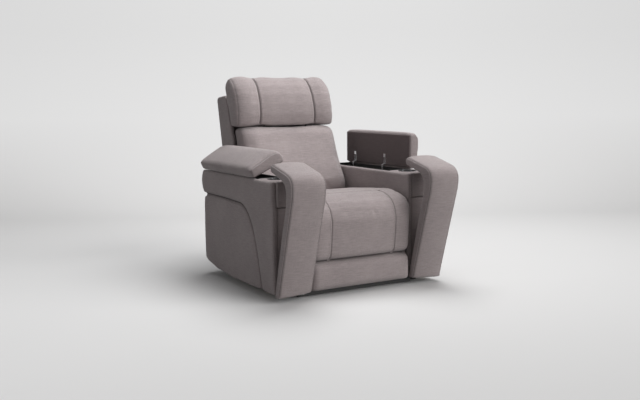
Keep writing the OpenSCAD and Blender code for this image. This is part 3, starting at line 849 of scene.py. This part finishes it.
def crown_lid(piece, name):
    """Domes the upper face, less towards its edges, and lets it down at both ends."""
    points, normals = get_points(piece), get_normals(piece)
    along = points[:, 1] - (LID_FRONT + LID_REAR) / 2
    beside = (points - np.array(on_lid(name, LID_X, 0.0, pin_z))) @ lid_across(name)
    ends = np.clip(1 - (along / LID_CROWN_LONG) ** 4, 0, 1)
    edges = np.clip(1 - (beside / CROWN_HALF) ** 2, 0, 1)
    tips = np.clip((np.abs(along) - TIP_START) / TIP_FADE, 0, 1) ** 2
    lift = (CROWN * ends * edges - TIP_DROP * tips) * np.clip(normals @ lid_outward(name), 0, 1)
    set_points(piece, points + lid_outward(name) * lift[:, None])


def plump_lid(piece, name):
    """Swells the two long sides, which closes the gap at the hinge."""
    points, normals = get_points(piece), get_normals(piece)
    along = points[:, 1] - (LID_FRONT + LID_REAR) / 2
    ends = np.clip(1 - (along / LID_SIDE_LONG) ** 6, 0, 1)
    facing = normals @ lid_across(name)
    push = OUTER_SWELL * np.clip(facing, 0, 1) - INNER_SWELL * np.clip(-facing, 0, 1)
    set_points(piece, points + lid_across(name) * (push * ends)[:, None])


print("lid shapes ready")

# %% [markdown]
# ## Pads and liners of the lids
# The seam at each end follows the lid's section, a little in from the end. The liner under the pad is a
# flat board in dark cloth, which shows on the lid that stands upright.

# %% Upholster the lids
LID_WELT_INSET = 0.002
LID_SECTION = [(0.470, 0.576), (0.470, 0.608), (0.4615, 0.6185), (0.340, 0.632), (0.310, 0.628),
               (0.295, 0.613), (0.290, 0.597), (0.292, 0.574)]

for name in SIDES:
    body = f"lid_{name}"
    node = f"lid_pad_{name}"
    pad = round_off(block_copy(f"padded_{node}", node), voxel=0.0045, rounds=26, grow=0.0038)
    welts = [[on_lid(name, across, y, z) for across, z in LID_SECTION]
             for y in (LID_FRONT + LID_WELT_INSET, LID_REAR - LID_WELT_INSET)]
    crown_lid(pad, name)
    plump_lid(pad, name)
    sew(pad, *welts, deep=0.0012, narrow=0.004, soft=0.001, wide=0.018, dark=0.35)
    finish_pad(pad, body, [node], levels=0)
    node = f"lid_liner_{name}"
    board = round_off(block_copy(f"padded_{node}", node), voxel=0.0035, rounds=2)
    finish_pad(board, body, [node], liner_cloth, levels=0)

# %% [markdown]
# ## The seat and its fabric fall
# Seat and upper footrest share one cover. It starts at the back of the seat, rolls over the front edge
# and ends in a seam low on the footrest. One mesh therefore covers both. It is an outline in the side
# view, repeated at several places across the seat. The front corners of the foam are cut round, so
# towards each side the outline moves back and down.

# %% Shape the seat cover
FALL = [(0.120, 0.345), (0.120, 0.432), (0.000, 0.448), (-0.180, 0.464), (-0.322, 0.474), (-0.400, 0.461),
        (-0.440, 0.445), (-0.463, 0.415), (-0.471, 0.380), (-0.471, 0.340), (-0.464, 0.255), (-0.456, 0.190),
        (-0.448, 0.178), (-0.440, 0.170), (-0.446, 0.162), (-0.457, 0.148), (-0.458, 0.045), (-0.452, 0.030),
        (-0.413, 0.030), (-0.413, 0.388), (-0.404, 0.398), (-0.396, 0.388), (-0.396, 0.345)]
SEAT_HALF = 0.2865
ROUNDING = [(SEAT_HALF, 0.022), (0.281, 0.012), (0.272, 0.005), (0.255, 0.0)]
INSIDE_Y, INSIDE_Z = -0.43, 0.44
FRONT_Y, TOP_Z, TOP_SHARE = -0.38, 0.4, 0.6


def lofted(name, rings):
    """A closed piece through a row of outlines."""
    build = bmesh.new()
    skin(build, [[build.verts.new(point) for point in ring] for ring in rings])
    bmesh.ops.recalc_face_normals(build, faces=build.faces)
    return built_piece(name, build)


def pulled_in(y, z, pull):
    """A point of the outline, moved back on the front and down on the top. The inner side stays."""
    if y > INSIDE_Y and z < INSIDE_Z:
        return y, z
    return y + (pull if y < FRONT_Y else 0.0), z - (TOP_SHARE * pull if z > TOP_Z else 0.0)


stations = [(-x, pull) for x, pull in ROUNDING] + ROUNDING[::-1]
cover_rings = [at_x(x, [pulled_in(y, z, pull) for y, z in FALL]) for x, pull in stations]
cover = lofted("seat_and_footrest_cover", cover_rings)
round_off(cover, voxel=0.006, rounds=12, grow=0.002)
print("seat cover", len(cover.data.vertices), "points")

# %% [markdown]
# ## Air and seams of the seat
# The cushion swells until it would touch the arms, and is held there. Two seams run down the fall and
# part it into three panels, a third joins them across the crest of the seat, and a deep one runs across
# the cover low on the footrest.

# %% Swell the cover and sew its panels
PANEL_X, PANEL_ASIDE = 0.183, 0.009
SEAT_ROOM = 0.2885
CREST, LOW_SEAM = FALL[4], FALL[13]
FALL_FACE = FALL[4:13]


def hold_between(piece, half):
    """Keeps a cushion between the arms."""
    points = get_points(piece)
    points[:, 0] = np.clip(points[:, 0], -half, half)
    set_points(piece, points)


blow_up(cover, cap=0.012, share=0.5)
hold_between(cover, SEAT_ROOM)
panel_seams = [at_x(side * PANEL_X, FALL_FACE) for side in SIDES.values()]
crest_seam = [(-PANEL_X, *CREST), (PANEL_X, *CREST)]
low_seam = [(-SEAT_HALF, *LOW_SEAM), (SEAT_HALF, *LOW_SEAM)]
sew(cover, *panel_seams, deep=0.0035, narrow=0.004, soft=0.004, wide=0.035, dark=0.5)
sew(cover, crest_seam, deep=0.006, narrow=0.0055, soft=0.003, wide=0.03, dark=0.8)
sew(cover, low_seam, deep=0.011, narrow=0.0055, soft=0.006, wide=0.026, dark=1.0)
finish_pad(cover, None, ["seat_cushion", "seat_front_roll", "footrest_upper_pad", "footrest_lower_pad"],
           levels=0)
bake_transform(cover)
cover_stitches = stitch_row("stitches_seat_panels", cover, [seam[:-1] for seam in panel_seams], PANEL_ASIDE)
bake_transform(cover_stitches)

# %% [markdown]
# ## Round sides
# Seen from above, the back cushion and the headrest are full in the middle and fall away towards both
# sides. At each height the front and the rear of the cushion are measured, and a point moves back by its
# place between the two, so that the front moves most and the rear stays.

# %% Roll the sides of a cushion
SLICE_STEP, SLICE_HALF, TOP_FADE = 0.012, 0.008, 0.05


def roll_sides(piece, start, half, back, top, down):
    """Moves the front back and the top down, from start at the inside to half at the side."""
    points = get_points(piece)
    y, z = points[:, 1], points[:, 2]
    heights = np.arange(z.min(), z.max(), SLICE_STEP)
    slices = [y[np.abs(z - height) < SLICE_HALF] for height in heights]
    front = np.interp(z, heights, [found.min() for found in slices])
    rear = np.interp(z, heights, [found.max() for found in slices])
    roll = np.clip((np.abs(points[:, 0]) - start) / (half - start), 0, 1) ** 2
    points[:, 1] += back * roll * np.clip((rear - y) / (rear - front), 0, 1)
    points[:, 2] -= down * roll * np.clip((z - top) / TOP_FADE, 0, 1)
    set_points(piece, points)


print("roll ready")

# %% [markdown]
# ## Back cushion
# The back cushion is one plump pad without panels. Its top is drawn up towards the headrest, and it stands
# out most in the small of the back.

# %% Upholster the back
BACK_HALF = 0.284
RAISE, RAISE_START, RAISE_RUN = 0.016, 0.62, 0.14
SUPPORT, SUPPORT_Z, SUPPORT_HALF = 0.016, 0.50, 0.20

back = round_off(block_copy("padded_back_cushion", "back_cushion"), voxel=0.006, rounds=26, grow=0.005)
points, normals = get_points(back), get_normals(back)
points[:, 2] += RAISE * np.clip((points[:, 2] - RAISE_START) / RAISE_RUN, 0, 1)
small_of_back = np.clip(1 - ((points[:, 2] - SUPPORT_Z) / SUPPORT_HALF) ** 2, 0, 1)
points[:, 1] -= SUPPORT * small_of_back * np.clip(-normals[:, 1], 0, 1)
set_points(back, points)
blow_up(back, cap=0.016, share=0.5)
hold_between(back, BACK_HALF)
roll_sides(back, start=0.205, half=BACK_HALF, back=0.028, top=0.72, down=0.008)
finish_pad(back, "back", ["back_cushion"])

# %% [markdown]
# ## Headrest
# The headrest has a broad middle panel between two curved seams, and narrow gussets at its ends, and its
# top dips a little in the middle. The pad starts from an outline of its own in the side view, pushed out
# across the seat, because its curve is what gives the headrest its look.

# %% Shape the headrest
HEAD_FRONT = [(0.300, 0.789), (0.289, 0.802), (0.286, 0.850), (0.294, 0.905), (0.312, 0.960), (0.338, 1.004),
              (0.372, 1.036), (0.408, 1.052), (0.440, 1.051)]
HEAD_REAR = [(0.462, 1.034), (0.471, 1.010), (0.470, 0.985), (0.450, 0.926), (0.423, 0.860), (0.398, 0.792),
             (0.380, 0.788)]
HEAD_TOP, HEAD_LOW, HEAD_HALF = 1.054, 0.788, 0.297
HEAD_RAISE, RAISE_FROM, RAISE_OVER = 0.006, 0.98, 0.07
DIP, DIP_WIDTH = 0.007, 0.10
END_FLARE, SEAM_FLARE = 0.01, 0.05


def head_x(x, z, flare):
    """The headrest and its seams stand a little wider apart at the lower end."""
    return x * (1 + flare * (HEAD_TOP - z) / (HEAD_TOP - HEAD_LOW))


head_ends = [at_x(side * HEAD_HALF, HEAD_FRONT + HEAD_REAR) for side in SIDES.values()]
head = lofted("padded_headrest_cushion", head_ends)
round_off(head, voxel=0.006, rounds=9, grow=0.003)
blow_up(head, cap=0.008, share=0.4)
points = get_points(head)
rise = np.clip((points[:, 2] - RAISE_FROM) / RAISE_OVER, 0, 1)
points[:, 2] += rise * (HEAD_RAISE - DIP * np.exp(-((points[:, 0] / DIP_WIDTH) ** 2)))
points[:, 0] = head_x(points[:, 0], points[:, 2], END_FLARE)
set_points(head, points)
roll_sides(head, start=0.215, half=0.300, back=0.028, top=0.99, down=0.016)
print("headrest", len(head.data.vertices), "points")

# %% [markdown]
# ## Seams of the headrest
# The two long seams pull deep into the foam, and the gussets close each end with a shallow one that lies
# further back than the face.

# %% Sew the headrest
HEAD_SEAM_X, HEAD_ASIDE = 0.163, 0.009
GUSSET_X, GUSSET_BACK = 0.291, 0.024


def head_line(x, flare, back=0.0):
    """A line up the front of the headrest."""
    return [(head_x(x, z, flare), y + back, z) for y, z in HEAD_FRONT]


head_seams = [head_line(side * HEAD_SEAM_X, SEAM_FLARE) for side in SIDES.values()]
gussets = [head_line(side * GUSSET_X, END_FLARE, GUSSET_BACK) for side in SIDES.values()]
sew(head, *head_seams, deep=0.008, narrow=0.0055, soft=0.009, wide=0.045, dark=0.65)
sew(head, *gussets, deep=0.0015, narrow=0.005, soft=0.001, wide=0.02, dark=0.35)
finish_pad(head, "headrest", ["headrest_cushion"], levels=0)
stitch_row("stitches_headrest", head, head_seams, HEAD_ASIDE, "headrest")

# %% [markdown]
# ## Back shell
# The back shell is the outside of the back: board under thin foam and cloth. It wraps the rear of the
# back cushion and stands beside it as two narrow wings.

# %% Upholster the shell
shell = round_off(block_copy("padded_back_shell", "back_shell"), voxel=0.005, rounds=4)
finish_pad(shell, "back", ["back_shell"], levels=0)
bpy.context.view_layer.update()

# %% [markdown]
# ## The studio paper
# The photograph is a catalogue picture: a pale floor that turns into a pale wall with no visible edge.
# The wall and the floor are one curved sheet. The camera sees its plain pale colour, while the floor
# keeps the soft shadow under the seat. Rays that light the seat see a darker sheet, so the background
# does not wash out the shadows.

# %% Make the paper
PAPER_GREY, PAPER_GRAIN = 0.66, 0.02
WALL_BLEND, WALL_DARK, WALL_GLOW = 0.75, 0.7, 0.55
BOUNCE = 0.45


def paper_finish():
    shader = Shader("studio_paper")
    light_path = shader.node("ShaderNodeLightPath", {})
    straight, glossy, through = light_path.outputs("Is Camera Ray", "Is Glossy Ray", "Is Transmission Ray")
    seen = (straight + glossy + through).clamp()
    grain = shader.noise(shader.place(), 1.3)
    wall = (shader.split(shader.place())[2] / WALL_BLEND).clamp()
    shade = (1 + (grain - 0.5) * PAPER_GRAIN) * (seen * (1 - BOUNCE) + BOUNCE) * (1 - wall * WALL_DARK)
    shader.set(Base_Color=shader.tint((PAPER_GREY,) * 3, shade), Roughness=0.9, Specular_IOR_Level=0.1)
    shader.set(Emission_Color=shader.tint((1.0, 1.0, 1.0), seen * wall * WALL_GLOW), Emission_Strength=1.0)
    return shader.material


print("paper ready")

# %% [markdown]
# ## Floor and wall
# A sheet of paper on a roll is drawn as its profile in the side view: floor, a quarter circle and wall.
# It is turned to stand nearly square to the camera, so its sides stay out of the picture.

# %% Roll out the paper
FLOOR_FRONT, WALL_FOOT, COVE, COVE_STEPS, WALL_TOP = -6.0, 2.2, 1.6, 12, 6.0
PAPER_HALF = 8.0
PAPER_TURN = 0.9

cove_turns = [k * math.pi / 2 / COVE_STEPS for k in range(1, COVE_STEPS + 1)]
profile = [(FLOOR_FRONT, 0.0), (WALL_FOOT, 0.0)]
profile += [(WALL_FOOT + COVE * math.sin(t), COVE - COVE * math.cos(t)) for t in cove_turns]
profile += [(WALL_FOOT + COVE, WALL_TOP)]
build = bmesh.new()
rows = [[build.verts.new((x, y, z)) for x in (-PAPER_HALF, PAPER_HALF)] for y, z in profile]
for a, b in zip(rows[:-1], rows[1:]):
    build.faces.new((a[0], a[1], b[1], b[0]))
paper = built_piece("studio_paper", build)
paper.data.materials.append(paper_finish())
paper.data.shade_smooth()
paper.rotation_euler.z = AZIMUTH * PAPER_TURN
print("paper of", len(profile), "steps")

# %% [markdown]
# ## Light
# The photograph has one large light from the right front. A lamp so far away that it is equally strong
# everywhere on the floor stands for it. A big soft light above opens the shadows, a weak one fills the
# left, and the air adds a little light from all around.

# %% Hang the lights
SEAT_MIDDLE = (0.0, 0.0, 0.4)
AIR_COLOUR, AIR_STRENGTH = (0.93, 0.91, 0.91, 1), 0.19


def lamp(name, kind, place, aim, energy, colour, **settings):
    """A light at a place that shines towards its aim."""
    data = bpy.data.lights.new(name, kind)
    data.energy, data.color = energy, colour
    for key, value in settings.items():
        setattr(data, key, value)
    light = bpy.data.objects.new(name, data)
    light.location = place
    light.rotation_euler = (Vector(aim) - Vector(place)).to_track_quat("-Z", "Y").to_euler()
    bpy.context.scene.collection.objects.link(light)
    return light


lights = [
    lamp("key", "SUN", (3.6, -5.4, 2.4), (0, 0, 0), 2.3, (1.0, 0.99, 0.98), angle=math.radians(50)),
    lamp("top", "AREA", (0.9, 0.5, 4.4), SEAT_MIDDLE, 190.0, (1, 1, 1),
         shape="RECTANGLE", size=3.0, size_y=3.0),
    lamp("fill", "AREA", (-3.6, -0.6, 1.5), SEAT_MIDDLE, 13.0, (0.97, 0.98, 1.0),
         shape="RECTANGLE", size=2.2, size_y=1.0),
]
world = bpy.data.worlds.new("studio_air")
world.use_nodes = True
world.node_tree.nodes["Background"].inputs[0].default_value = AIR_COLOUR
world.node_tree.nodes["Background"].inputs[1].default_value = AIR_STRENGTH
bpy.context.scene.world = world
bpy.context.scene.view_settings.view_transform = "Standard"
print(len(lights), "lights and the air")
